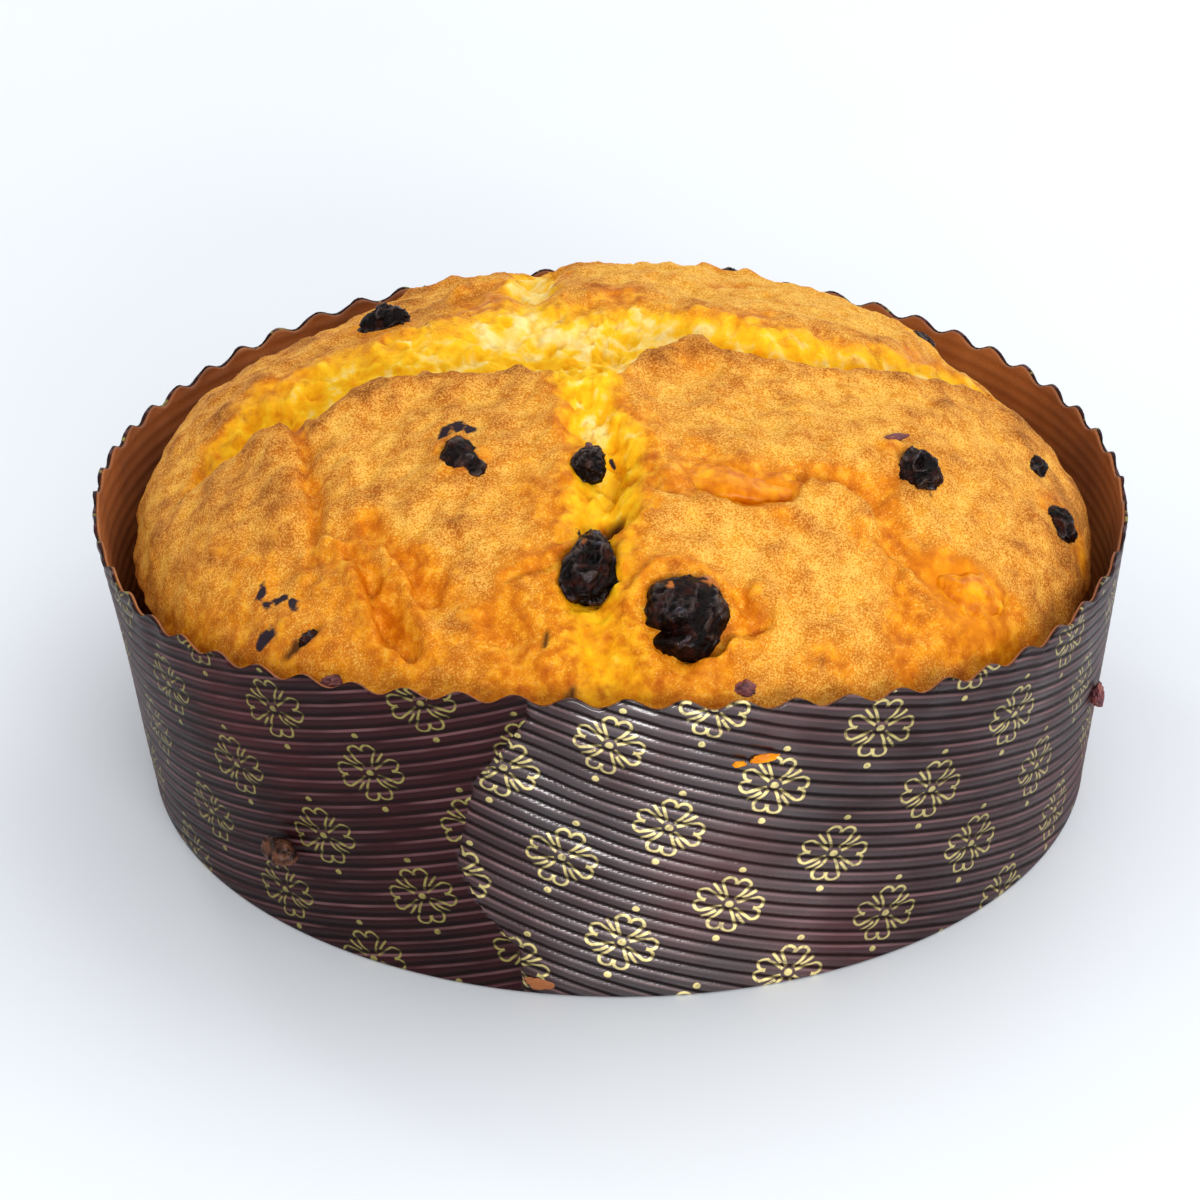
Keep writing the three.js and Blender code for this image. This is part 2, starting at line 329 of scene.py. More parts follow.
def shapeCase(points, reliefScale):
    angle = angleOf(points)
    radius = np.hypot(points[:, 0], points[:, 1])
    share = np.clip(points[:, 2] / case["height"], 0, 1)
    depth = caseRadius(points[:, 2]) - radius  # how far behind the outer face
    atSeam = hill(turnBetween(angle, case["seamAngle"]), case["seamReach"]) * share
    scallop = np.cos(np.radians(case["scallops"] * (angle - case["scallopStart"]))) * share ** 8
    atDip = hill(turnBetween(angle, case["dipAngle"]), case["dipReach"]) * share ** 2
    lift = atSeam * case["seamRise"] + scallop * case["scallopHeight"]
    height = points[:, 2] + lift - atDip * case["dipDepth"]
    height = np.where(share > 0.02, height, points[:, 2])
    lapSide = turnBetween(angle, onLine(lapEdge, height))  # degrees past the lap's end
    rightAngle = (angle + 131) % 360 - 131
    leftAngle = (angle - 40) % 360 + 40
    flatRight = flatBand(rightAngle, height)
    flatLeft = flatBand(leftAngle, height)
    v = np.where(lapSide > 0, flatRight[:, 1], flatLeft[:, 1])
    wave = np.sqrt(0.5 + 0.5 * np.cos(2 * pi * v / case["flutePitch"])) * 2 - 1  # round ribs, narrow grooves
    lap = (lapSide > 0) * (1 - rise(lapSide, 5, 28)) * case["lapStep"]
    bulge = 0.5 * np.sin(np.radians(angle) * 5 + 1) * hill(share - 0.6, 0.5)
    crush = -1.0 * hill(turnBetween(angle, -97.5), 7) * hill(height - 50, 16)  # a soft dent by the seam
    crush += -0.6 * hill(turnBetween(angle, -93), 5) * hill(height - 36, 9)
    onWall = rise(height, 0.5, 3)
    out = (wave * case["fluteHeight"] * reliefScale + lap * reliefScale + bulge + crush) * onWall
    out -= atSeam * case["seamPull"] + case["inset"] * onWall
    across = np.where(radius > 2, 1 + out * (depth < 3) / np.maximum(radius, 2), 1)
    moved = np.empty_like(points)
    moved[:, 0] = points[:, 0] * across + case["floorShift"] * (1 - share)
    moved[:, 1] = points[:, 1] * across
    moved[:, 2] = height
    return moved, flatRight, flatLeft, lapSide, wave


def waxAndPaintedLightAt(points):  # the band is pulled tight and shiny to the right of its seam; the same mask also paints the gold ink lighter there, as painted light
    angle = angleOf(points)
    sheenTone = 0.85 + 0.5 * noiseAt(points, 14, 31, 2)
    shiny = hill(turnBetween(angle, -84), 38) + 0.3 * hill(turnBetween(angle, -46), 44)
    shiny += 0.7 * hill(turnBetween(angle, -81), 18) * (1 - rise(points[:, 2], 10, 46))
    return np.clip(shiny * sheenTone, 0, 1)


def makeBand():
    rows = case["rows"]
    outer = [(caseRadius(case["height"] * i / rows), case["height"] * i / rows) for i in range(rows + 1)]
    outer[0] = (outer[0][0] - 0.4, 0.05)
    back = [(caseRadius(z) - case["sheet"], z) for z in (case["height"], 37, 18, 0.6)]
    mesh = turnedMesh("printedBand", outer + back, case["columns"], loop=True)
    points = readPoints(mesh)
    depth = caseRadius(points[:, 2]) - np.hypot(points[:, 0], points[:, 1])
    moved, flatRight, flatLeft, lapSide = shapeCase(points, 1)[:4]
    behind = shapeCase(points, 0)[0]
    moved = np.where((depth > case["sheet"] * 0.9)[:, None], behind, moved)
    writePoints(mesh, moved)
    store(mesh, "flatRight", flatRight)
    store(mesh, "flatLeft", flatLeft)
    store(mesh, "lapSide", lapSide)
    store(mesh, "wax", waxAndPaintedLightAt(moved) * (lapSide > 0))
    piece = addPiece("printedBand", mesh, printedPaper())
    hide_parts("paper_case")
    print("printed band made", len(mesh.polygons))


def makeLining():
    front = case["sheet"] + case["gap"]
    back = front + case["lining"]
    rows = case["liningRows"]
    floor = 0.9
    outside = [(caseRadius(z) - front, z) for z in (1.0, 18, 37, case["height"] - 0.15)]
    inside = [(caseRadius(z) - back, z) for z in np.linspace(case["height"] - 0.15, floor, rows)]
    underside = [(0, 0), (30, 0), (60, 0), (case["floorRadius"] - 1.2, 0)]
    floorTop = [(60, floor), (30, floor), (0, floor)]
    mesh = turnedMesh("kraftLining", underside + outside + inside + floorTop, case["liningColumns"])
    points = readPoints(mesh)
    depth = caseRadius(points[:, 2]) - np.hypot(points[:, 0], points[:, 1])
    fluted, *rest, wave = shapeCase(points, 0.5)
    plain = shapeCase(points, 0)[0]
    inner = (depth > back * 0.95)[:, None]
    writePoints(mesh, np.where(inner, fluted, plain))
    store(mesh, "flutes", wave)
    piece = addPiece("kraftLining", mesh, kraftPaper())
    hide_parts("paper_case")
    print("kraft lining made", len(mesh.polygons))


flower = {
    "repeatU": 32.7,  # mm along the flutes
    "repeatV": 26.65,
    "startU": -4.1,
    "startV": 5.4,
    "squash": 1.1,  # the flower is a little lower than it is wide
    "line": 0.46,  # width of the printed line
    "edge": 0.1,  # how soft its edge is
    "spread": 0.08,  # how much wider the gold is drawn where the wax shines: a painted glare of the lit gold
    "lobeOut": 5.1,  # round lobe of a heart-shaped petal, in mm from the heart: middle, radius and start
    "lobeSide": 1.4,
    "lobeRadius": 1.3,
    "lobeStart": 5.0,
    "strokes": [("side", 29, 1.8, 5.5), ("ray", 45, 3.2, 5.7)],  # degrees off the petal's middle, start, end
    "heartRadius": 0.5,
    "dotOut": 8.6,  # a dot above and below
    "dotRadius": 0.4,
}
paper = {
    "tones": [(0.3, "1a0608"), (0.55, "2b0c10"), (0.75, "43171a")],
    # painted highlight colour for the upper edge of each flute
    "sheenTone": "92696c",
    # the gold ink in painted shade and in painted light
    "inkDull": "8b8148",
    "inkBright": "f2dc8e",
}


def printedPaper():
    # Greaseproof baking paper, printed dark brown with a gold ink flower, pressed into fine flutes: a waxy
    # sheen on the crests right of the seam, where a painted highlight lines each flute and the gold is
    # painted lighter, and gold that breaks up where the flutes dip, dimmed there by painted shade that also
    # darkens the grooves.
    material, add, inMm = newMaterial("printedGreaseproofPaper")
    stored = {}
    for name in ("flatRight", "flatLeft", "lapSide", "wax"):
        stored[name] = add("Attribute", {"attribute_name": name}).outputs
    side = add("Math", {"operation": "GREATER_THAN", 1: 0.0}, {0: stored["lapSide"]["Fac"]})
    flat = add("Mix", {"data_type": "VECTOR"},
               {0: side, 4: stored["flatLeft"]["Vector"], 5: stored["flatRight"]["Vector"]})
    parts = add("SeparateXYZ", links={0: flat})
    value = {"U": parts.outputs["X"], "V": parts.outputs["Y"], "wax": stored["wax"]["Fac"]}
    steps = []  # result, operation and what it works on, all in mm
    for axis in "UV":  # the nearest flower of the grid, and of the grid between
        repeat = flower["repeat" + axis]
        steps += [
            ("from" + axis, "SUBTRACT", axis, flower["start" + axis]),
            ("near" + axis, "WRAP", "from" + axis, repeat / 2, -repeat / 2),
            ("shift" + axis, "ADD", "from" + axis, repeat / 2),
            ("far" + axis, "WRAP", "shift" + axis, repeat / 2, -repeat / 2),
            ("span" + axis, "ABSOLUTE", "near" + axis),
            ("part" + axis, "DIVIDE", "span" + axis, repeat),
            ("step" + axis, "SUBTRACT", "far" + axis, "near" + axis),
        ]
    steps += [
        ("reach", "ADD", "partU", "partV"),
        ("isFar", "GREATER_THAN", "reach", 0.5),
        ("x", "MULTIPLY_ADD", "stepU", "isFar", "nearU"),
        ("y", "MULTIPLY_ADD", "stepV", "isFar", "nearV"),
        ("tall", "MULTIPLY", "y", flower["squash"]),
        ("absX", "ABSOLUTE", "x"),
        ("absY", "ABSOLUTE", "tall"),
        ("long", "MAXIMUM", "absX", "absY"),
        ("short", "MINIMUM", "absX", "absY"),
        ("longSq", "MULTIPLY", "long", "long"),
        ("radiusSq", "MULTIPLY_ADD", "short", "short", "longSq"),
        ("radius", "SQRT", "radiusSq"),
        ("lobeX", "SUBTRACT", "long", flower["lobeOut"]),
        ("lobeY", "SUBTRACT", "short", flower["lobeSide"]),
        ("lobeXSq", "MULTIPLY", "lobeX", "lobeX"),
        ("lobeSq", "MULTIPLY_ADD", "lobeY", "lobeY", "lobeXSq"),
        ("lobeR", "SQRT", "lobeSq"),
        ("lobeOff", "SUBTRACT", "lobeR", flower["lobeRadius"]),
        ("lobeLine", "ABSOLUTE", "lobeOff"),
        ("lobeEnd", "SUBTRACT", flower["lobeStart"], "long"),
        ("lobe", "MAXIMUM", "lobeLine", "lobeEnd"),
        ("heart", "SUBTRACT", "radius", flower["heartRadius"]),
        ("dotY", "SUBTRACT", "absY", flower["dotOut"]),
        ("dotYSq", "MULTIPLY", "dotY", "dotY"),
        ("dotSq", "MULTIPLY_ADD", "x", "x", "dotYSq"),
        ("dotR", "SQRT", "dotSq"),
        ("dot", "SUBTRACT", "dotR", flower["dotRadius"]),
    ]
    for name, turn, begin, end in flower["strokes"]:  # straight strokes away from the heart
        steps += [
            (name + "A", "MULTIPLY", "long", sin(radians(turn))),
            (name + "B", "MULTIPLY", "short", cos(radians(turn))),
            (name + "C", "SUBTRACT", name + "A", name + "B"),
            (name + "Line", "ABSOLUTE", name + "C"),
            (name + "Out", "SUBTRACT", "radius", end),
            (name + "In", "SUBTRACT", begin, "radius"),
            (name + "Ends", "MAXIMUM", name + "Out", name + "In"),
            (name, "MAXIMUM", name + "Line", name + "Ends"),
        ]
    steps += [
        ("petal", "MINIMUM", "lobe", "side"),
        ("petalRay", "MINIMUM", "petal", "ray"),
        ("bloom", "MINIMUM", "petalRay", "heart"),
        ("drawing", "MINIMUM", "bloom", "dot"),
        ("print", "MULTIPLY_ADD", "wax", -flower["spread"], "drawing"),
        ("phase", "MULTIPLY", "V", 2 * pi / case["flutePitch"]),
        ("wave", "COSINE", "phase"),
        ("edgePhase", "SUBTRACT", "phase", 1.5),
        ("upperEdge", "COSINE", "edgePhase"),
    ]
    for result, operation, *sources in steps:
        settings, links = {"operation": operation}, {}
        for index, source in enumerate(sources):
            if isinstance(source, str):
                links[index] = value[source]
            else:
                settings[index] = source
        value[result] = add("Math", settings, links)
    edgeLow = flower["line"] / 2 - flower["edge"]
    edgeHigh = flower["line"] / 2 + flower["edge"]
    inked = add("MapRange", {1: edgeLow, 2: edgeHigh, 3: 1.0, 4: 0.0}, {0: value["print"]})
    rib = add("MapRange", {1: -0.95, 2: -0.35}, {0: value["wave"]})
    # painted shade: the gold is dimmed in the grooves of the flutes, down to 0.15
    inkGrooveShade = add("MapRange", {3: 0.15, 4: 1.0}, {0: rib})
    worn = add("TexNoise", {"Scale": 0.9, "Detail": 3.0}, {0: inMm})
    kept = add("MapRange", {1: 0.3, 2: 0.5, 3: 0.35, 4: 1.0}, {0: worn})
    inkWithGrooveShade = add("Math", {"operation": "MULTIPLY"}, {0: inked, 1: inkGrooveShade})
    gold = add("Math", {"operation": "MULTIPLY"}, {0: inkWithGrooveShade, 1: kept})

    # ground: dark brown, with a painted highlight along the upper edge of each flute and painted shade that
    # makes it darkest in the grooves
    patch = add("TexNoise", {"Scale": 0.03, "Detail": 4.0}, {0: inMm})
    ground = add("ValToRGB", {"stops": paper["tones"]}, {0: patch})
    along = add("Mapping", {"Scale": (0.05, 0.37, 0)}, {0: flat})
    streak = add("TexNoise", {"Scale": 1.0, "Detail": 4.0}, {0: along})
    # painted highlight: a broken light line along the upper edge of each flute, standing in for the crest's
    # reflection
    sheenTone = add("MapRange", {1: 0.4, 2: 0.64, 3: 0.05, 4: 0.42}, {0: streak})
    upper = add("MapRange", {1: 0.72, 2: 0.95}, {0: value["upperEdge"]})
    lineShare = add("Math", {"operation": "MULTIPLY"}, {0: sheenTone, 1: upper})
    lined = add("Mix", {"data_type": "RGBA", 7: fromHex(paper["sheenTone"])}, {0: lineShare, 6: ground})
    # painted shade: the ground is darkened in the grooves of the flutes, down to 0.3
    grooveShade = add("MapRange", {3: 0.3, 4: 1.0}, {0: rib})
    shaded = add("Mix", {"data_type": "RGBA", "blend_type": "MULTIPLY", 0: 1.0}, {6: lined, 7: grooveShade})
    # painted light: the gold is a bright, lit copy where the wax shines and a dull, shaded copy elsewhere
    ink = add("Mix", {"data_type": "RGBA", 6: fromHex(paper["inkDull"]), 7: fromHex(paper["inkBright"])},
              {0: value["wax"]})
    colour = add("Mix", {"data_type": "RGBA"}, {0: gold, 6: shaded, 7: ink})
    gloss = add("MapRange", {1: 0.3, 2: 0.7, 3: 0.34, 4: 0.5}, {0: patch})
    shine = add("Math", {"operation": "MULTIPLY", 1: 0.4}, {0: gold})
    coat = add("Math", {"operation": "MULTIPLY"}, {0: value["wax"], 1: rib})
    grain = add("TexNoise", {"Scale": 2.0, "Detail": 3.0}, {0: inMm})
    rounded = add("Math", {"operation": "MULTIPLY_ADD", 1: 0.5, 2: 0.5}, {0: value["wave"]})
    ribShape = add("Math", {"operation": "SQRT"}, {0: rounded})
    relief = add("Math", {"operation": "MULTIPLY_ADD", 1: 0.25}, {0: grain, 2: ribShape})
    bump = add("Bump", {"Strength": 0.5, "Distance": 0.0004}, {"Height": relief})
    shader = add("BsdfPrincipled",
                 {"IOR": 1.5, "Specular IOR Level": 0.11, "Coat Roughness": 0.2, "Coat IOR": 1.76},
                 {"Base Color": colour, "Roughness": gloss, "Metallic": shine,
                  "Coat Weight": coat, "Normal": bump, "Coat Normal": bump})
    add("OutputMaterial", links={"Surface": shader})
    return material


kraftTones = [(0.3, "7e441c"), (0.5, "965423"), (0.72, "a8642d")]


def kraftPaper():
    # Unbleached kraft lining, baked brown: matt fibres, with painted shade that darkens the flutes' grooves
    # and lightens their crests.
    material, add, inMm = newMaterial("bakedKraftPaper")
    flutes = add("Attribute", {"attribute_name": "flutes"})
    stain = add("TexNoise", {"Scale": 0.05, "Detail": 5.0}, {0: inMm})
    ground = add("ValToRGB", {"stops": kraftTones}, {0: stain})
    # painted shade: darker in the flute grooves, lighter on their crests
    fluteShade = add("MapRange", {1: -1.0, 2: 1.0, 3: 0.82, 4: 1.08}, {0: flutes.outputs["Fac"]})
    fluteShaded = add("Mix", {"data_type": "RGBA", "blend_type": "MULTIPLY", 0: 1.0}, {6: ground, 7: fluteShade})
    fibre = add("TexNoise", {"Scale": 2.2, "Detail": 4.0}, {0: inMm})
    fibreTone = add("MapRange", {1: 0.3, 2: 0.7, 3: 0.85, 4: 1.1}, {0: fibre})
    colour = add("Mix", {"data_type": "RGBA", "blend_type": "MULTIPLY", 0: 1.0}, {6: fluteShaded, 7: fibreTone})
    bump = add("Bump", {"Strength": 0.3, "Distance": 0.00015}, {"Height": fibre})
    shader = add("BsdfPrincipled", {"Roughness": 0.62}, {"Base Color": colour, "Normal": bump})
    add("OutputMaterial", links={"Surface": shader})
    return material


bread = {
    "bodyRadius": 89.0,
    "crustRadius": 92.0,
    "crustLevel": 45.0,
    "domeHeight": 43.0,
    "tuckAngle": 27.0,  # the crust is pulled in at one place
    "tuckReach": 30.0,
    "tuckDepth": 6.0,
    "crossDepth": 5.8,
    "frontDepth": 4.3,
    "backDepth": 3.5,
    "lipHeight": 1.7,
    "lipReach": 9.0,
    "foldScale": 1.9,
    "topDrop": 0.8,  # the back lobes stand lower, most of all the left one
    "backDrop": 0.8,
    "leftDrop": 2.6,
    "floorLevel": 1.3,
    "bumps": [(16, 5, 2), (7, 15, 2), (3.6, 6, 3), (1.6, 7, 2)],  # size, seed and octaves, from broad to fine
    "columns": 560,
    "domeRows": 152,
}
# edges of the lobes, as (x, y) seen from above, in mm
frontLip = [(-88, -24), (-78, -16), (-68, -14), (-58, -15), (-49, -13), (-43, -9), (-34, -10.5), (-24, -11),
            (-13, -12), (-6, -15), (1, -13), (7, -6), (16, 1), (22, -2), (34, -4), (48, 1), (61, 5), (80, 13)]
backLip = [(-80, -5), (-71, 4), (-61, 9), (-52, 14), (-41, 16), (-29, 18), (-20, 27), (-15, 30), (-9, 21),
           (-2, 19), (8, 20), (13, 17), (30, 12), (46, 12), (58, 18), (76, 27)]
frontMiddle = [(-88, 0), (-70, -3), (-60, -2), (-45, 0), (-30, -1), (-20, -4)]
frontHalfWidth = [(-88, 7), (-70, 6.5), (-56, 7.5), (-36, 6.5), (-20, 5.5)]
backMiddle, backHalfWidth = -15, 8
folds = [  # path, reach, height (a valley is negative) and how much thin orange crust shows in it
    ([(-60, -11), (-57, -23), (-55, -34), (-54, -44), (-54, -51)], 2.6, -1.1, 0.3),
    ([(-65, -14), (-62, -26), (-60, -40)], 6, 0.8, 0),
    ([(-50, -16), (-50, -30), (-49, -42)], 6, 0.7, 0),
    ([(-53, -49), (-50, -51), (-47, -57), (-44, -64), (-42, -69)], 2.6, 1.3, 0),
    ([(-48, -53), (-45, -58), (-42, -64), (-40, -68), (-38, -72), (-34, -75)], 3.2, -1.5, 0.75),
    ([(-44, -48), (-42, -51), (-38, -56), (-35, -61), (-31, -65)], 3.2, -1.3, 0.8),
    ([(-41, -57), (-38, -61), (-35, -66), (-33, -72), (-32, -76)], 2.8, 1.2, 0),
    ([(-39, -65), (-36, -70), (-35, -74)], 3.4, -1.4, 0.7),
    ([(-18, -65), (-12, -64), (-8, -62)], 2.2, -1.0, 0.8),
    ([(-22, -72), (-17, -78), (-15, -86)], 3.5, -0.9, 0.6),
    ([(35, -38), (40, -38), (47, -37), (52, -34)], 4, -1.1, 0.35),
    ([(26, -68), (30, -69), (29, -74), (24, -77), (17, -82)], 2.4, 1.2, 0),
    ([(23, -69), (25, -73), (20, -77), (14, -80)], 2.6, -1.2, 0.7),
    ([(49, -49), (52, -55), (54, -62), (52, -70)], 3, -1.0, 0.5),
    ([(57, -64), (63, -62), (71, -55), (74, -48)], 2.6, -1.0, 0.6),
    ([(-30, 40), (-22, 44), (-19, 40)], 5, 1.6, 0.3),
    ([(-68, 12), (-60, 22), (-50, 30)], 6, 0.8, 0),
    ([(60, 24), (66, 30), (68, 40)], 5, -1.2, 0.35),
    ([(22, 40), (30, 47), (44, 53)], 5, -1.1, 0.25),
    ([(-60, 44), (-53, 54), (-44, 62)], 4.5, -1.1, 0.25),
    ([(0, 60), (6, 70), (4, 82)], 5, -1.2, 0.35),
]
shelfEdge = [(5, -47), (10, -49.5), (22, -49.5), (32, -47), (36, -42), (42, -40), (47, -42), (49, -48),
             (54, -53)]
rightCliff = [(-2, -13), (3, -24), (5, -31), (6, -39), (7, -46), (7, -55), (5, -62), (3, -71), (5, -80)]
dents = [  # x, y, reach, depth and thin crust
    (-38, -67, 8, 1.2, 0.3),
    (64, -52, 11, 2.6, 1.0),  # pit round the right-hand piece of peel
    (24, -42.5, 12, 2.0, 0.9),
    (16, -36, 8, 0.8, 0.6),
    (57, -28, 6, 1.2, 0.4),
    (26, 8, 10, -1.4, 0.5),  # lump behind the right lobe
    (14, -6, 9, 0.5, 0.3),
    (-2, -27, 4.5, -1.3, 0),  # pale lump of crumb
    (-1, -41, 3.5, 1.2, 0),
    (1, -36, 4, 1.2, 0),
    (-28, -34, 6, 1.1, 0),
    (51, -72, 5, 0.7, 0.6),
    (41, -75, 4, 0.5, 0.5),
    (31, -52, 4, 0.6, 0.6),
    (46, -50, 4, 0.7, 0.7),
    (66, -46, 4, -0.8, 0.3),
    (-52, -14, 4, 0.5, 0.3),
    (-26, 31, 8, 0.8, 0.8),
    (-63, 5, 7, 0.6, 0.6),
    (-42, 11, 5, 0.4, 0.5),
    (29, 18, 5, 0.6, 0.7),
    (1, 25, 7, 0.5, 0.6),
    (-9, -85, 5, 0.8, 0.5),
    (8, -84, 5, -0.9, 0.8),
    (-56, -61, 6, 0.5, 0.1),
    (83, -18, 5, 0.8, 0.3),
]
collars = [  # x, y, length, width, turn and rise of the dough that grips a raisin
    (13.5, -75, 17.5, 16.5, 55, 1.5),
    (-4, -65, 15, 10, 78, 1.2),
    (-28, -36.5, 9, 6.5, 120, 0.9),
    (-4, -42, 8, 6.5, 80, 0.7),
    (56, -28.5, 9, 7.5, -15, 1.0),
    (84.5, -18.5, 8, 5, 120, 0.7),
    (-44, 27, 9, 7, 10, 0.9),
    (24, 68, 8, 6, 20, 0.9),
    (-36, 63, 8, 7, 60, 0.9),
    (62, 47, 8, 6, 60, 0.9),
]
specks = [  # x, y and size of raisin skin that shows through the crust
    (-63.5, -53.5, 2.0), (-61.5, -57, 1.6), (-59, -57.5, 1.7), (-57, -60, 1.4), (-62, -61.5, 1.4),
    (-30, -29, 2.0), (-27, -29.3, 2.2), (-24, -29.8, 1.7), (-81.3, -16.7, 1.8), (-6, -54.6, 1.2),
    (-2, -34.5, 1.2), (60, -34.5, 0.9),
]
slits = [  # x, y, length, width, turn and depth
    (0.0, -52.8, 7.5, 3.0, 22, 2.8),
    (-55, -66, 8.5, 2.4, 12, 3.0),
    (-11.5, -78, 3.5, 2.0, 70, 1.2),
    (-7, -86, 4, 2.4, 60, 1.4),
]


def inOval(x, y, midX, midY, length, width, turn):  # 0 in the middle of an oval and 1 on its edge
    c, s = cos(radians(turn)), sin(radians(turn))
    along = ((x - midX) * c + (y - midY) * s) / (length / 2)
    across = (-(x - midX) * s + (y - midY) * c) / (width / 2)
    return np.hypot(along, across)


def crossSplit(x, y):  # the wide tear between the front and back lobes
    front, back = onLine(frontLip, x), onLine(backLip, x)
    share = (y - front) / (back - front)
    fade = 1 - rise(np.abs(x), 66, 88)
    dip = rise(share, -0.04, 0.24) * (1 - rise(share, 0.35, 1.02))
    lips = hill(y - front + 2.5, 8) + 0.4 * hill(y - back - 3, bread["lipReach"])
    height = fade * (lips * bread["lipHeight"] - dip * bread["crossDepth"])
    torn = rise(share, -0.03, 0.1) * (1 - rise(share, 0.5, 1.35)) * fade
    return height, torn, hill(y - front + 3, 6) * fade + 0.6 * hill(y - back - 4, 7) * fade


def frontSplit(x, y):
    off = x - onLine(frontMiddle, y)
    halfWidth = onLine(frontHalfWidth, y)
    along = 1 - rise(y, -22, -8)
    shallow = 0.5 + 0.5 * rise(y, -84, -52)
    lips = hill(np.abs(off) - halfWidth - 2, bread["lipReach"])
    height = lips * bread["lipHeight"] * 0.5 - hill(off, halfWidth + 2) * bread["frontDepth"] * shallow
    torn = (1 - rise(np.abs(off) / halfWidth, 0.35, 1.6)) * (1 - rise(y, -14, -4))
    return along * height, torn * (0.62 + 0.38 * rise(y, -62, -48))


def backSplit(x, y):
    along = rise(y, 18, 34) * (1 - rise(y, 60, 88))
    return -bread["backDepth"] * hill(x - backMiddle, backHalfWidth) * along, hill(x - backMiddle, 9) * along


def crustFolds(x, y):
    height, thin = np.zeros_like(x), np.zeros_like(x)
    for path, reach, lift, bare in folds:
        off = offPath(path, x, y)
        height += lift * bread["foldScale"] * hill(off, reach)
        thin = np.maximum(thin, bare * hill(off, reach * 2.2))
    for dentX, dentY, reach, depth, bare in dents:
        off = np.hypot(x - dentX, y - dentY)
        height -= depth * hill(off, reach)
        thin = np.maximum(thin, bare * hill(off, reach * 1.3))
    for ringX, ringY, length, width, turn, lift in collars:
        off = (inOval(x, y, ringX, ringY, length, width, turn) - 1.1) * (length + width) / 4
        height += lift * hill(off, 2.6)
        thin = np.maximum(thin, 0.55 * hill(off, 4))
    shelf = offPath(shelfEdge, x, y)  # the crust in front of this edge stands over the part behind it
    step = rise(shelf, -0.6, 1.2) * (1 - rise(shelf, 1.5, 11))
    height += 1.1 * hill(shelf + 2.5, 4) - 2.3 * step
    thin = np.maximum(thin, 0.8 * step)
    cliff = offPath(rightCliff, x, y)
    height += 0.9 * hill(cliff + 2.5, 4) * (y < -10)
    return height, thin


def swell(x, y):
    return 0.9 * np.sin(x / 17 + 0.6) * np.sin(y / 15 - 0.4) + 0.5 * np.sin((x - y) / 9)


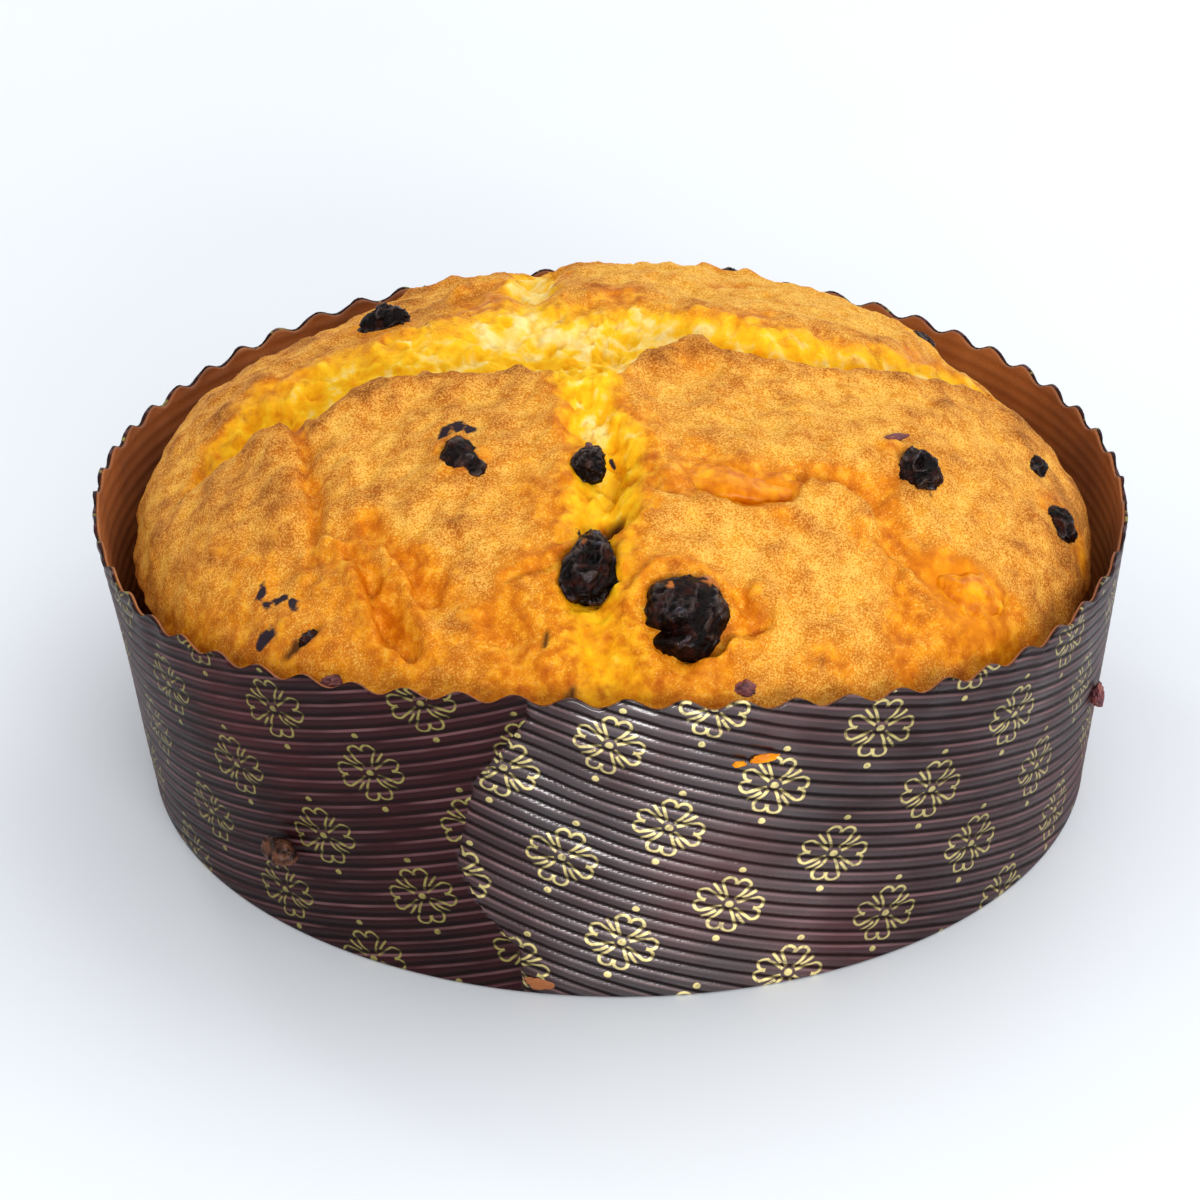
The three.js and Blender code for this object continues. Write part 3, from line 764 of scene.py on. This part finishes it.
def makeBread():
    base, body, rim = bread["floorLevel"], bread["bodyRadius"], bread["crustRadius"]
    outline = [(0, base), (body / 2, base), (body - 1.5, base), (body - 0.4, base + 1), (body, base + 3)]
    for i in range(1, 16):
        z = 4.3 + i * 2.55
        outline.append((body - 0.6 * hill(z - 27, 22) + 0.8 * float(rise(z, 36, 42.5)), z))
    for row in range(bread["domeRows"] + 1):
        slant = radians(88 * (1 - row / bread["domeRows"]))
        outline.append((rim * sin(slant), bread["crustLevel"] + bread["domeHeight"] * cos(slant)))
    mesh = turnedMesh("panettoneLoaf", outline, bread["columns"])
    points = readPoints(mesh)
    x, y, z = points.T

    # ragged edges: the splits are looked up a little off their true place
    ragX = x + 2.2 * noiseAt(points, 10, 1) + 1.1 * noiseAt(points, 4, 2, 2)
    ragY = y + 2.2 * noiseAt(points, 10, 3) + 1.1 * noiseAt(points, 4, 4, 2)
    crossHeight, crossTorn, crossLip = crossSplit(ragX, ragY)
    frontHeight, frontTorn = frontSplit(ragX, ragY)
    backHeight, backTorn = backSplit(ragX, ragY)
    foldHeight, thin = crustFolds(0.5 * (x + ragX), 0.5 * (y + ragY))
    radius = np.hypot(x, y)
    onDome = z > bread["crustLevel"]
    fade = 1 - rise(radius, 78, rim)
    torn = np.clip(np.maximum(np.maximum(crossTorn, frontTorn), backTorn), 0, 1) * onDome
    broad, lumps, small, fine = (noiseAt(points, *bump) for bump in bread["bumps"])
    strands = 1 - np.abs(noiseAt(points + 1.5 * small[:, None], 5.5, 8)) * 2.2  # ridged, like torn strands
    pits = rise(noiseAt(points, 3, 9, 2), 0.3, 0.6)
    dimples = rise(noiseAt(points, 5, 10), 0.42, 0.75) * (1 - torn)
    height = crossHeight + frontHeight + backHeight + foldHeight + swell(x, y)
    height -= bread["topDrop"] + (bread["backDrop"] + bread["leftDrop"] * rise(-x, 5, 45)) * rise(y, 5, 45)
    height += broad * 1.1 + lumps * 0.75 + small * 0.38 * (1 - torn) + fine * 0.1 * (1 - torn) - 0.7 * dimples
    height += torn * (0.9 * small + 0.55 * (strands - 0.5) + 0.1 * fine - 0.8 * pits)
    # painted shade: this mask colours the inside of the slits dark brown, besides their carved depth
    slit = np.zeros_like(x)
    for *oval, depth in slits:
        inside = hill(inOval(x, y, *oval), 1.3)
        slit = np.maximum(slit, rise(inside, 0.12, 0.6))
        height -= depth * inside
    moved = points.copy()
    dome = bread["crustLevel"] + bread["domeHeight"] * np.sqrt(np.clip(1 - (radius / rim) ** 2, 0, 1))
    moved[:, 2] = np.where(onDome, dome + height * fade, z)
    tuck = bread["tuckDepth"] * hill(turnBetween(angleOf(points), bread["tuckAngle"]), bread["tuckReach"])
    tuck = tuck * rise(moved[:, 2], 25, 48) * (radius / rim) ** 5
    edge = (broad * 1.3 + small * 0.35) * rise(radius, 70, 90) * (z > 6)
    outward = 1 - (tuck - np.minimum(edge, 0.8)) / np.maximum(radius, 1)
    lean = case["floorShift"] * (1 - np.minimum(moved[:, 2], case["height"]) / case["height"])
    moved[:, 0] = x * outward + lean
    moved[:, 1] = y * outward
    writePoints(mesh, moved)

    # painted shade: the hollows of the crust are turned orange like the thin crust in the folds
    hollowShade = -(foldHeight + 0.6 * lumps + 0.25 * small + 0.3 * broad) + 0.7 * dimples
    # painted shade: a band of orange along the front edge of the dome, above the case rim
    lowRim = (0.55 - 0.3 * rise(x, 5, 40)) * rise(radius, 60, 90) * rise(-y, 10, 60)
    lowRim += 0.25 * hill(x + 14, 14) * rise(-y, 20, 50)
    lowRim += 0.45 * hill(x + 1, 24) * rise(-y, 10, 26)  # thin crust on both sides of the front split
    wet = thin + lowRim + 0.35 * rise(hollowShade, 0.3, 1.5) + 0.6 * hill(torn - 0.4, 0.5)
    wet += 0.3 * noiseAt(points, 6, 21, 3)
    # painted light: the crumb is made lighter towards the middle and the back of the splits, and stays darker
    # under the front lips as painted shade; strands and creamy patches add real tone
    ripe = rise(torn, 0.3, 1) * (0.35 * hill(np.hypot(x + 2, y - 16), 90) + 0.45 * rise(y, 0, 18))
    creamy = rise(noiseAt(points, 5, 33, 3), 0.2, 0.8) + 1.4 * hill(np.hypot(ragX + 3, ragY + 26), 7)
    store(mesh, "torn", torn)
    store(mesh, "wet", np.clip(wet, 0, 1.2))
    toast = 0.55 * crossLip + 0.35 * broad + 0.35 * lumps + 0.3 * small - x / 380 + 0.7 * rise(x, 50, 90)
    toast -= 0.8 * rise(y, 12, 55) * rise(x, -20, 20)
    store(mesh, "toast", np.clip(toast, -1, 1))
    ripe += 0.3 * rise(strands + 0.5 * small, 0.55, 1.2) + 0.5 * creamy * rise(torn, 0.5, 1)
    store(mesh, "ripe", ripe)
    syrup = hill(np.hypot((ragX - 24) / 11, (ragY + 42) / 5.5), 1.2)
    syrup += hill(np.hypot(ragX - 64, ragY + 52), 11)
    store(mesh, "syrup", np.clip(syrup, 0, 1))
    skin = np.zeros_like(x)
    for speckX, speckY, size in specks:
        skin = np.maximum(skin, hill(np.hypot(ragX - speckX, ragY - speckY), size * 1.4))
    store(mesh, "slit", slit)
    store(mesh, "skin", skin)
    store(mesh, "crustHigh", rise(moved[:, 2], 41, 47))
    piece = addPiece("panettoneLoaf", mesh, crustAndCrumb())
    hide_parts("bread")
    print("bread made", len(mesh.polygons))
    return moved[onDome]


doughTones = {
    "dry": [(0.3, "dc9224"), (0.5, "ca7a1a"), (0.72, "b06014"), (0.95, "88480e")],
    "flour": [(0.3, "f6c25c"), (0.6, "e8aa4b"), (0.9, "c8883a")],
    "orange": [(0.3, "b85c04"), (0.5, "d87e08"), (0.7, "f0a014")],
    "crumb": [(0.34, "dc8404"), (0.5, "f2aa08"), (0.72, "fcc61e"), (1.0, "fae294")],
    "side": [(0.35, "c98a30"), (0.65, "e6b65c")],
    "syrup": "e08400",
    # painted shade inside the slits
    "slit": "55300a",
    "skin": "2c2028",
}


def crustAndCrumb():
    # Enriched dough, baked: a dry golden crust with a fine speckle, thin orange crust in its folds, and
    # painted shade that turns its hollows and the front edge above the case orange too; yellow crumb where it
    # tore, which lets some light through, painted lighter towards the back of the splits, and the slits
    # painted dark brown as shade.
    material, add, inMm = newMaterial("bakedSweetDough")
    fields = {}
    for name in ("torn", "wet", "toast", "ripe", "syrup", "slit", "skin", "crustHigh"):
        fields[name] = add("Attribute", {"attribute_name": name}).outputs["Fac"]
    spots = {}
    for name, size, detail in (("cloud", 5.5, 5), ("blotch", 2.6, 5), ("speck", 0.36, 2), ("curd", 3.4, 5)):
        spots[name] = add("TexNoise", {"Scale": 1 / size, "Detail": detail}, {0: inMm})
    clouded = add("Math", {"operation": "MULTIPLY_ADD", 1: 0.45}, {0: fields["toast"], 2: spots["cloud"]})
    dry = add("ValToRGB", {"stops": doughTones["dry"]}, {0: clouded})
    orange = add("ValToRGB", {"stops": doughTones["orange"]}, {0: spots["blotch"]})
    wetEdge = add("Math", {"operation": "MULTIPLY_ADD", 1: 1.2, 2: -0.6}, {0: spots["blotch"]})
    # orange where the crust is thin and wet, and as painted shade in its hollows and along the front edge
    wetAndShadeSum = add("Math", {"operation": "ADD"}, {0: fields["wet"], 1: wetEdge})
    wetAndShadeMask = add("MapRange", {1: 0.1, 2: 0.95, "interpolation_type": "SMOOTHSTEP"}, {0: wetAndShadeSum})
    ground = add("Mix", {"data_type": "RGBA"}, {0: wetAndShadeMask, 6: dry, 7: orange})
    flour = add("ValToRGB", {"stops": doughTones["flour"]}, {0: clouded})
    speckBlotch = add("Math", {"operation": "MULTIPLY_ADD", 1: 0.5}, {0: spots["blotch"], 2: spots["speck"]})
    dusted = add("Math", {"operation": "MULTIPLY_ADD", 1: -0.16}, {0: wetAndShadeMask, 2: speckBlotch})
    glazed = add("Math", {"operation": "MULTIPLY_ADD", 1: -0.3}, {0: fields["syrup"], 2: dusted})
    isFlour = add("MapRange", {1: 0.64, 2: 0.88}, {0: glazed})
    dusty = add("Mix", {"data_type": "RGBA"}, {0: isFlour, 6: ground, 7: flour})
    grit = add("MapRange", {1: 0.3, 2: 0.46, 3: 0.86, 4: 1.0}, {0: spots["speck"]})
    crust = add("Mix", {"data_type": "RGBA", "blend_type": "MULTIPLY", 0: 1.0}, {6: dusty, 7: grit})
    amber = add("Math", {"operation": "MULTIPLY", 1: 0.9}, {0: fields["syrup"]})
    syruped = add("Mix", {"data_type": "RGBA", 7: fromHex(doughTones["syrup"])}, {0: amber, 6: crust})
    tone = add("Math", {"operation": "MULTIPLY_ADD", 1: 0.45}, {0: fields["ripe"], 2: spots["curd"]})
    crumb = add("ValToRGB", {"stops": doughTones["crumb"]}, {0: tone})
    tornEdge = add("Math", {"operation": "ADD"}, {0: fields["torn"], 1: wetEdge})
    isCrumb = add("MapRange", {1: 0.12, 2: 0.85, "interpolation_type": "SMOOTHSTEP"}, {0: tornEdge})
    top = add("Mix", {"data_type": "RGBA"}, {0: isCrumb, 6: syruped, 7: crumb})
    side = add("ValToRGB", {"stops": doughTones["side"]}, {0: spots["blotch"]})
    whole = add("Mix", {"data_type": "RGBA"}, {0: fields["crustHigh"], 6: side, 7: top})
    # painted shade: dark brown inside the slits
    slitShaded = add("Mix", {"data_type": "RGBA", 7: fromHex(doughTones["slit"])}, {0: fields["slit"], 6: whole})
    skinSum = add("Math", {"operation": "ADD"}, {0: fields["skin"], 1: wetEdge})
    isSkin = add("MapRange", {1: 0.35, 2: 0.6}, {0: skinSum})
    colour = add("Mix", {"data_type": "RGBA", 7: fromHex(doughTones["skin"])}, {0: isSkin, 6: slitShaded})
    rough = add("MapRange", {3: 0.75, 4: 0.42}, {0: wetAndShadeMask})
    pores = add("TexNoise", {"Scale": 1 / 0.7, "Detail": 4.0, "Roughness": 0.6}, {0: inMm})
    bump = add("Bump", {"Strength": 0.7, "Distance": 0.00035}, {"Height": pores})
    shader = add("BsdfPrincipled",
                 {"Subsurface Weight": 0.12, "Subsurface Radius": (1.0, 0.45, 0.15),
                  "Subsurface Scale": 2 * mm, "IOR": 1.4, "Specular IOR Level": 0.15},
                 {"Base Color": colour, "Roughness": rough, "Normal": bump})
    add("OutputMaterial", links={"Surface": shader})
    return material


fruit = {
    "levels": 3,
    "usual": {  # how far the skin moves in mm, and how the piece grows and is moved, narrowed and bent
        "wrinkle": 0.5, "vein": 0.2, "lump": 0.7, "grow": (1, 1, 1), "shift": (0, 0, 0), "taper": 0,
        "bend": 0, "cleft": 0, "crumbs": 0, "brown": 0, "seat": None,
    },
    "own": {  # what differs from that; the seat is how deep the middle lies in the crust
        "peel_01": {"wrinkle": 0.2, "vein": 0.05, "lump": 0.5, "grow": (1.2, 1.2, 1), "shift": (0, 0.6, 0)},
        "peel_02": {"wrinkle": 0.3, "vein": 0.1, "lump": 0.9, "shift": (0.5, 0.4, -0.5)},
        "raisin_01": {"lump": 0.8, "grow": (1.15, 1.2, 1.5), "seat": -0.9},
        "raisin_02": {"wrinkle": 0.35, "vein": 0.15, "lump": 0.6, "grow": (1.15, 1.7, 1.2),
                      "shift": (0.9, 0.2, 0), "taper": 0.3, "bend": -0.9},
        "raisin_03": {"shift": (0.5, 1.7, 1.5), "taper": 0.2},
        "raisin_04": {"wrinkle": 0.4, "vein": 0.3, "lump": 0.5, "grow": (1, 1.28, 1.1),
                      "shift": (0.1, 1.6, 0.4), "taper": 0.42, "bend": 1, "crumbs": 0.5},
        "raisin_05": {"wrinkle": 0.35, "vein": 0.14, "cleft": 2.3, "crumbs": 1},
        "raisin_06": {"vein": 0.22, "grow": (1.05, 1.25, 1.1), "shift": (0.7, -2.2, -0.3), "taper": 0.3,
                      "bend": 0.6},
        "raisin_07": {"wrinkle": 0.4, "lump": 0.6, "grow": (1.2, 1, 0.8), "seat": 0.4},
        "raisin_08": {"wrinkle": 0.6, "lump": 0.8, "grow": (1.25, 1.25, 1.1), "shift": (0.3, -2.2, 0)},
        "raisin_09": {"wrinkle": 0.4, "lump": 0.5, "shift": (0, 0, -0.2)},
        "raisin_10": {"wrinkle": 0.4, "lump": 0.5},
        "raisin_11": {"wrinkle": 0.4, "lump": 0.5},
        "case_raisin": {"wrinkle": 0.4, "vein": 0.15, "lump": 0.5, "grow": (1.35, 1.2, 0.95),
                        "shift": (0.4, 0, 1.9), "brown": 1},
        "case_flake": {"wrinkle": 0.4, "lump": 0.4, "shift": (-1.3, 0, -1.5)},
    },
    "farSide": {"grow": (1, 1, 0.8), "seat": 1.8},  # the raisins that only show from behind
}


def roundedCopy(node, name):  # a finer, rounder copy of a CAD node
    bm = bmesh.new()
    bm.from_mesh(frame["nodes"][node].data)
    bmesh.ops.remove_doubles(bm, verts=bm.verts, dist=1e-6)
    bmesh.ops.recalc_face_normals(bm, faces=bm.faces)
    holder = newObject("holder", toMesh(bm, name + "Rough"))
    rounder = holder.modifiers.new("rounder", "SUBSURF")
    rounder.levels = rounder.render_levels = fruit["levels"]
    bpy.context.view_layer.update()
    fine = bpy.data.meshes.new_from_object(holder.evaluated_get(bpy.context.evaluated_depsgraph_get()))
    bpy.data.objects.remove(holder)
    fine.name = name
    fine.materials.clear()
    return fine


def crustHeight(loaf, x, y):
    return loaf[np.argmin((loaf[:, 0] - x) ** 2 + (loaf[:, 1] - y) ** 2), 2]


def wrinkle(mesh, habit, seed, loaf):  # dried skin: sharp ridges between hollows, on a lumpy body
    points, normals = readPoints(mesh), readNormals(mesh)
    middle = (points.min(axis=0) + points.max(axis=0)) / 2
    points = middle + (points - middle) * habit["grow"] + habit["shift"]
    low, high = points.min(axis=0), points.max(axis=0)
    middle, half = (low + high) / 2, (high - low) / 2
    if habit["seat"] is not None:
        level = crustHeight(loaf, middle[0], middle[1]) - habit["seat"]
        points[:, 2] += level - middle[2]
        middle[2] = level
    size = min(1.4, half.max() / 4.5)
    bent = points + 1.0 * noiseAt(points, 4, seed + 3)[:, None]
    ridges = 1 - np.abs(noiseAt(bent * (1.0, 0.6, 1.0), 3.0 * size, seed)) * 2.6
    veins = 1 - np.abs(noiseAt(bent * (1.0, 0.75, 1.0), 1.3 * size, seed + 1, 2)) * 2.6
    lumps = noiseAt(points, 5 * size, seed + 2)
    move = habit["wrinkle"] * (np.maximum(ridges, 0) ** 1.5 - 0.3) + habit["vein"] * (veins - 0.4)
    move += habit["lump"] * lumps
    reach = (points - middle) / half
    off = (points - middle) @ (-0.15, 0.5, 0.85) + 0.15 * half[0]
    cleft = habit["cleft"] * hill(off, 2.1) * rise(-reach[:, 0], -0.75, 0.8)
    crumbs = habit["crumbs"] * (hill(np.hypot(reach[:, 0] - 0.5, reach[:, 1] - 0.62), 0.5)
                                       + hill(np.hypot(reach[:, 0] + 0.28, reach[:, 1] - 0.2), 0.3))
    crumbs = crumbs * rise(noiseAt(points, 2.2, seed + 4, 2), -0.4, 0.05)
    move += 0.35 * crumbs - cleft
    moved = points + normals * move[:, None] * size
    moved[:, 0] = middle[0] + (moved[:, 0] - middle[0]) * (1 - habit["taper"] * reach[:, 1])
    moved[:, 0] += habit["bend"] * (1 - reach[:, 1] ** 2)
    writePoints(mesh, moved)
    crease = 0.6 * ridges + 0.4 * veins - 0.8 * hill(off, 1.6) * (cleft > 0.3)
    store(mesh, "crease", np.clip(crease, 0, 1))
    store(mesh, "crumbs", np.clip(crumbs, 0, 1))
    store(mesh, "brown", np.full(len(points), float(habit["brown"])))


raisinTones = {
    "skin": [(0.38, "050101"), (0.52, "100504"), (0.7, "34140c")],
    "brown": [(0.42, "1c0c08"), (0.62, "66402e")],
    # painted highlight: a lighter brown on the ridges
    "ridge": "42241a",
    # bloom on the ridges, partly real, partly a painted highlight
    "bloom": "6a7494",
    "crumbs": "c4702a",
}
peelTones = [(0.36, "c86a00"), (0.5, "e08800"), (0.66, "f0a60c")]
skinTones = [(0.3, "3a1a20"), (0.5, "6b3035"), (0.72, "94584a")]


def raisinSkin():
    # Sun-dried raisin: near-black brown skin, sticky and shiny on its ridges, with a faint blue-grey bloom,
    # and ridges painted lighter brown and blue-grey as a painted highlight.
    material, add, inMm = newMaterial("sunDriedRaisin")
    stored = {}
    for name in ("crease", "brown", "crumbs"):
        stored[name] = add("Attribute", {"attribute_name": name}).outputs["Fac"]
    tone = add("TexNoise", {"Scale": 0.4, "Detail": 4.0}, {0: inMm})
    skin = add("ValToRGB", {"stops": raisinTones["skin"]}, {0: tone})
    ridge = add("MapRange", {1: 0.45, 2: 0.95}, {0: stored["crease"]})
    # painted highlight: the ridges are painted a lighter brown, and blue-grey where the bloom noise allows
    faint = add("Math", {"operation": "MULTIPLY", 1: 0.4}, {0: ridge})
    ridgesPaintedLight = add("Mix", {"data_type": "RGBA", 7: fromHex(raisinTones["ridge"])}, {0: faint, 6: skin})
    bloomNoise = add("TexNoise", {"Scale": 0.5, "Detail": 3.0}, {0: inMm})
    bloom = add("MapRange", {1: 0.56, 2: 0.72, 3: 0.0, 4: 0.3}, {0: bloomNoise})
    ridgeHighlight = add("Math", {"operation": "MULTIPLY"}, {0: bloom, 1: ridge})
    bloomAndHighlight = add("Mix", {"data_type": "RGBA", 7: fromHex(raisinTones["bloom"])}, {0: ridgeHighlight, 6: ridgesPaintedLight})
    browned = add("MapRange", {3: 0.0, 4: 0.8}, {0: stored["brown"]})
    brownTone = add("ValToRGB", {"stops": raisinTones["brown"]}, {0: tone})
    lighter = add("Mix", {"data_type": "RGBA"}, {0: browned, 6: bloomAndHighlight, 7: brownTone})
    crumbShare = add("MapRange", {1: 0.25, 2: 0.6, 3: 0.0, 4: 0.85}, {0: stored["crumbs"]})
    colour = add("Mix", {"data_type": "RGBA", 7: fromHex(raisinTones["crumbs"])}, {0: crumbShare, 6: lighter})
    coat = add("MapRange", {3: 0.08, 4: 0.8}, {0: ridge})
    fineSkin = add("TexNoise", {"Scale": 1.6, "Detail": 4.0}, {0: inMm})
    bump = add("Bump", {"Strength": 0.8, "Distance": 0.0004}, {"Height": fineSkin})
    shader = add("BsdfPrincipled",
                 {"Roughness": 0.4, "IOR": 1.45, "Specular IOR Level": 0.06, "Coat Roughness": 0.12,
                  "Coat IOR": 1.5},
                 {"Base Color": colour, "Coat Weight": coat, "Normal": bump, "Coat Normal": bump})
    add("OutputMaterial", links={"Surface": shader})
    return material


def candiedPeel():
    # Orange peel boiled in syrup: wet, amber and glowing where light passes through.
    material, add, inMm = newMaterial("candiedOrangePeel")
    tone = add("TexNoise", {"Scale": 0.3, "Detail": 5.0}, {0: inMm})
    colour = add("ValToRGB", {"stops": peelTones}, {0: tone})
    bump = add("Bump", {"Strength": 0.4, "Distance": 0.0006}, {"Height": tone})
    shader = add("BsdfPrincipled",
                 {"Roughness": 0.3, "Subsurface Weight": 0.1, "Subsurface Radius": (1.0, 0.4, 0.05),
                  "Subsurface Scale": 2 * mm, "Specular IOR Level": 0.15},
                 {"Base Color": colour, "Normal": bump})
    add("OutputMaterial", links={"Surface": shader})
    return material


def driedSkin():
    # Dried fruit skin, dull and papery, between plum and rust.
    material, add, inMm = newMaterial("driedFruitSkin")
    tone = add("TexNoise", {"Scale": 0.8, "Detail": 4.0}, {0: inMm})
    colour = add("ValToRGB", {"stops": skinTones}, {0: tone})
    bump = add("Bump", {"Strength": 0.5, "Distance": 0.0004}, {"Height": tone})
    shader = add("BsdfPrincipled", {"Roughness": 0.55}, {"Base Color": colour, "Normal": bump})
    add("OutputMaterial", links={"Surface": shader})
    return material


bits = [  # name, slot, where (x, y on the crust, or angle and height on the case), size and turn
    ("brownFlake", "fruit_skin", (52.5, -23.0), (2.7, 0.8, 0.7), 18),
    ("raisinStem", "fruit_skin", (-3.8, -37.2), (0.8, 1.8, 0.8), 10),
    ("peelSmear", "candied_peel", (-73.8, 46.2), (2.6, 0.5, 0.9), "case"),
    ("peelDrop", "candied_peel", (-76.6, 44.9), (1.2, 0.45, 0.6), "case"),
    ("paperChip", "case_paper", (-99.2, 2.4), (2.6, 0.35, 1.4), "case"),
]


def makeBits(finishes, loaf):
    for seed, (name, slotName, (first, second), size, turn) in enumerate(bits):
        bm = bmesh.new()
        bmesh.ops.create_icosphere(bm, subdivisions=4, radius=mm)
        mesh = toMesh(bm, name)
        points = readPoints(mesh)
        points *= (1 + 0.3 * noiseAt(points, 0.9, 80 + seed, 2))[:, None] * size
        if turn == "case":
            turn = first + 90
            on = np.array([[cos(radians(first)), sin(radians(first)), 0]]) * caseRadius(second)
            place = shapeCase(on + (0, 0, second), 1)[0][0]
        else:
            place = np.array([first, second, crustHeight(loaf, first, second) + 0.3])
        c, s = cos(radians(turn)), sin(radians(turn))
        writePoints(mesh, points @ np.array([[c, s, 0], [-s, c, 0], [0, 0, 1]]) + place)
        addPiece(name, mesh, finishes[slotName])
    print("bits made")


def makeFruit(loaf):
    finishes = {"raisin": raisinSkin(), "candied_peel": candiedPeel(), "fruit_skin": driedSkin()}
    for seed, part in enumerate(frame["record"]["subparts"]):
        node, slotName = part["node"], part["material_slot"]
        if slotName not in finishes:
            continue
        mesh = roundedCopy(node, node + "_fine")
        habit = {**fruit["usual"], **fruit["own"].get(node, fruit["farSide"])}
        wrinkle(mesh, habit, 40 + 3 * seed, loaf)
        piece = addPiece(node + "_fine", mesh, finishes[slotName])
        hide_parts(node)
    print("fruit made")
    finishes["case_paper"] = bpy.data.materials["bakedKraftPaper"]
    makeBits(finishes, loaf)


makeCamera()
makeStage()
makeBand()
makeLining()
loaf = makeBread()
makeFruit(loaf)
